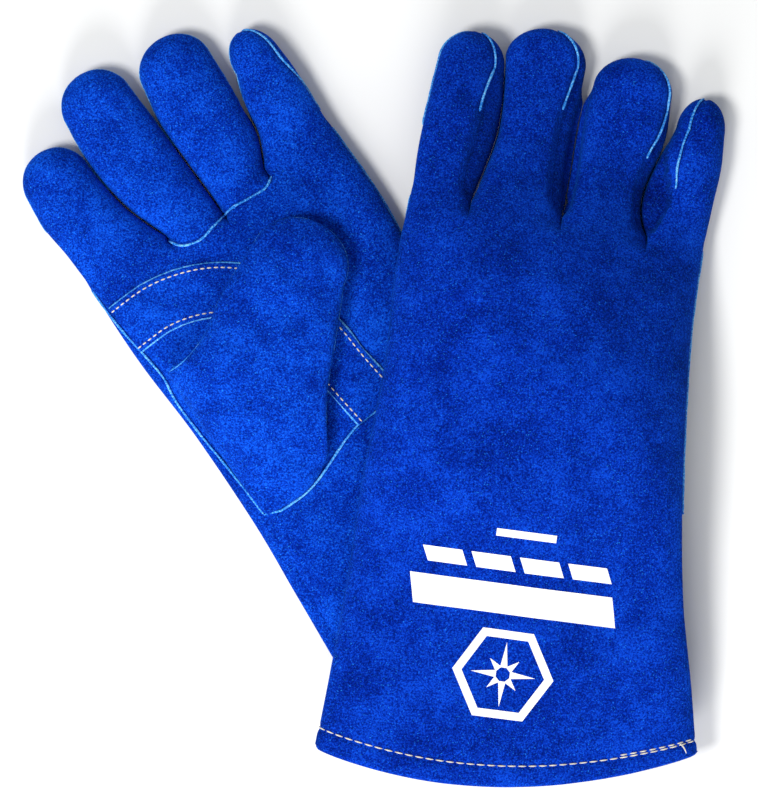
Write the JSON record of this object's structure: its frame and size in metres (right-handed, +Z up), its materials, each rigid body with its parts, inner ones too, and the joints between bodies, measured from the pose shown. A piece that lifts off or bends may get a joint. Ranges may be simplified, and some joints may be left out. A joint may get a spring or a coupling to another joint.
{
  "type": "welding gloves",
  "caption": "Pair of blue suede welding gauntlets: welted seams, wing thumb, palm strap, fleece and canvas lining, stitched hem; one lies palm up, the other back up across it.",
  "frame": {"origin": "centre of the pair's footprint on the surface it lies on", "axes": "+Z up from the surface, +Y towards the fingertips in plan, +X to the right with the left glove on the left"},
  "size_m": [0.3102, 0.3283, 0.0521],
  "materials": {
    "leather": "blue split cowhide suede, matt nap",
    "strap_leather": "blue split cowhide suede with raw pale edges",
    "welt_leather": "pale blue welt strip, matt",
    "thread": "cream aramid sewing thread",
    "fleece": "brushed cotton fleece",
    "canvas": "plain woven cotton canvas"
  },
  "bodies": {
    "left_hand": {"left_back_panel": "leather", "left_palm_panel": "leather", "left_cuff_front": "leather", "left_thumb_base": "leather", "left_palm_strap": "strap_leather", "left_cuff_hem": "leather", "left_hand_welts": "welt_leather", "left_hand_lining": "fleece", "left_cuff_lining": "canvas", "left_stitching": "thread"},
    "left_index": {"left_index_back": "leather", "left_index_front": "leather", "left_index_welt": "welt_leather", "left_index_lining": "fleece"},
    "left_middle": {"left_middle_back": "leather", "left_middle_front": "leather", "left_middle_welt": "welt_leather", "left_middle_lining": "fleece"},
    "left_ring": {"left_ring_back": "leather", "left_ring_front": "leather", "left_ring_welt": "welt_leather", "left_ring_lining": "fleece"},
    "left_little": {"left_little_back": "leather", "left_little_front": "leather", "left_little_welt": "welt_leather", "left_little_lining": "fleece"},
    "left_thumb": {"left_thumb_back": "leather", "left_thumb_front": "leather", "left_thumb_welt": "welt_leather", "left_thumb_lining": "fleece"},
    "right_hand": {"right_back_panel": "leather", "right_palm_panel": "leather", "right_cuff_front": "leather", "right_thumb_base": "leather", "right_palm_strap": "strap_leather", "right_cuff_hem": "leather", "right_hand_welts": "welt_leather", "right_hand_lining": "fleece", "right_cuff_lining": "canvas", "right_stitching": "thread"},
    "right_index": {"right_index_back": "leather", "right_index_front": "leather", "right_index_welt": "welt_leather", "right_index_lining": "fleece"},
    "right_middle": {"right_middle_back": "leather", "right_middle_front": "leather", "right_middle_welt": "welt_leather", "right_middle_lining": "fleece"},
    "right_ring": {"right_ring_back": "leather", "right_ring_front": "leather", "right_ring_welt": "welt_leather", "right_ring_lining": "fleece"},
    "right_little": {"right_little_back": "leather", "right_little_front": "leather", "right_little_welt": "welt_leather", "right_little_lining": "fleece"},
    "right_thumb": {"right_thumb_back": "leather", "right_thumb_front": "leather", "right_thumb_welt": "welt_leather", "right_thumb_lining": "fleece"}
  },
  "joints": [
    {"name": "left_index_flex", "type": "hinge", "parent": "left_hand", "child": "left_index", "pos_m": [-0.1104, 0.0604, 0.0145], "axis": [0.829, 0.5592, 0], "range_deg": [0, 65]},
    {"name": "left_middle_flex", "type": "hinge", "parent": "left_hand", "child": "left_middle", "pos_m": [-0.0827, 0.0791, 0.0145], "axis": [0.829, 0.5592, 0], "range_deg": [0, 65]},
    {"name": "left_ring_flex", "type": "hinge", "parent": "left_hand", "child": "left_ring", "pos_m": [-0.0567, 0.0966, 0.0145], "axis": [0.829, 0.5592, 0], "range_deg": [0, 65]},
    {"name": "left_little_flex", "type": "hinge", "parent": "left_hand", "child": "left_little", "pos_m": [-0.0314, 0.1137, 0.0145], "axis": [0.829, 0.5592, 0], "range_deg": [0, 65]},
    {"name": "right_index_flex", "type": "hinge", "parent": "right_hand", "child": "right_index", "pos_m": [0.033, 0.0884, 0.0243], "axis": [-0.9833, 0.1822, 0], "range_deg": [0, 65]},
    {"name": "right_middle_flex", "type": "hinge", "parent": "right_hand", "child": "right_middle", "pos_m": [0.0674, 0.082, 0.0186], "axis": [-0.9833, 0.1822, 0], "range_deg": [0, 65]},
    {"name": "right_ring_flex", "type": "hinge", "parent": "right_hand", "child": "right_ring", "pos_m": [0.1017, 0.0757, 0.0098], "axis": [-0.9833, 0.1822, 0], "range_deg": [0, 65]},
    {"name": "right_little_flex", "type": "hinge", "parent": "right_hand", "child": "right_little", "pos_m": [0.1315, 0.0702, 0.0039], "axis": [-0.9833, 0.1822, 0], "range_deg": [0, 65]},
    {"name": "left_thumb_open", "type": "hinge", "parent": "left_hand", "child": "left_thumb", "pos_m": [-0.0549, -0.0047, 0.0325], "axis": [0.8942, -0.4478, 0], "range_deg": [0, 80]},
    {"name": "right_glove_lift", "type": "slide", "parent": "left_hand", "child": "right_hand", "axis": [0, 0, 1], "range_m": [0, 0.16]},
    {"name": "right_thumb_open", "type": "hinge", "parent": "right_hand", "child": "right_thumb", "pos_m": [0.0281, 0.0029, 0.0225], "axis": [-0.3239, 0.9461, 0], "range_deg": [0, 80]}
  ],
  "couplings": [
    {"joint": "right_thumb_open", "follows": "right_glove_lift", "rad_per_m": 8.7266}
  ]
}
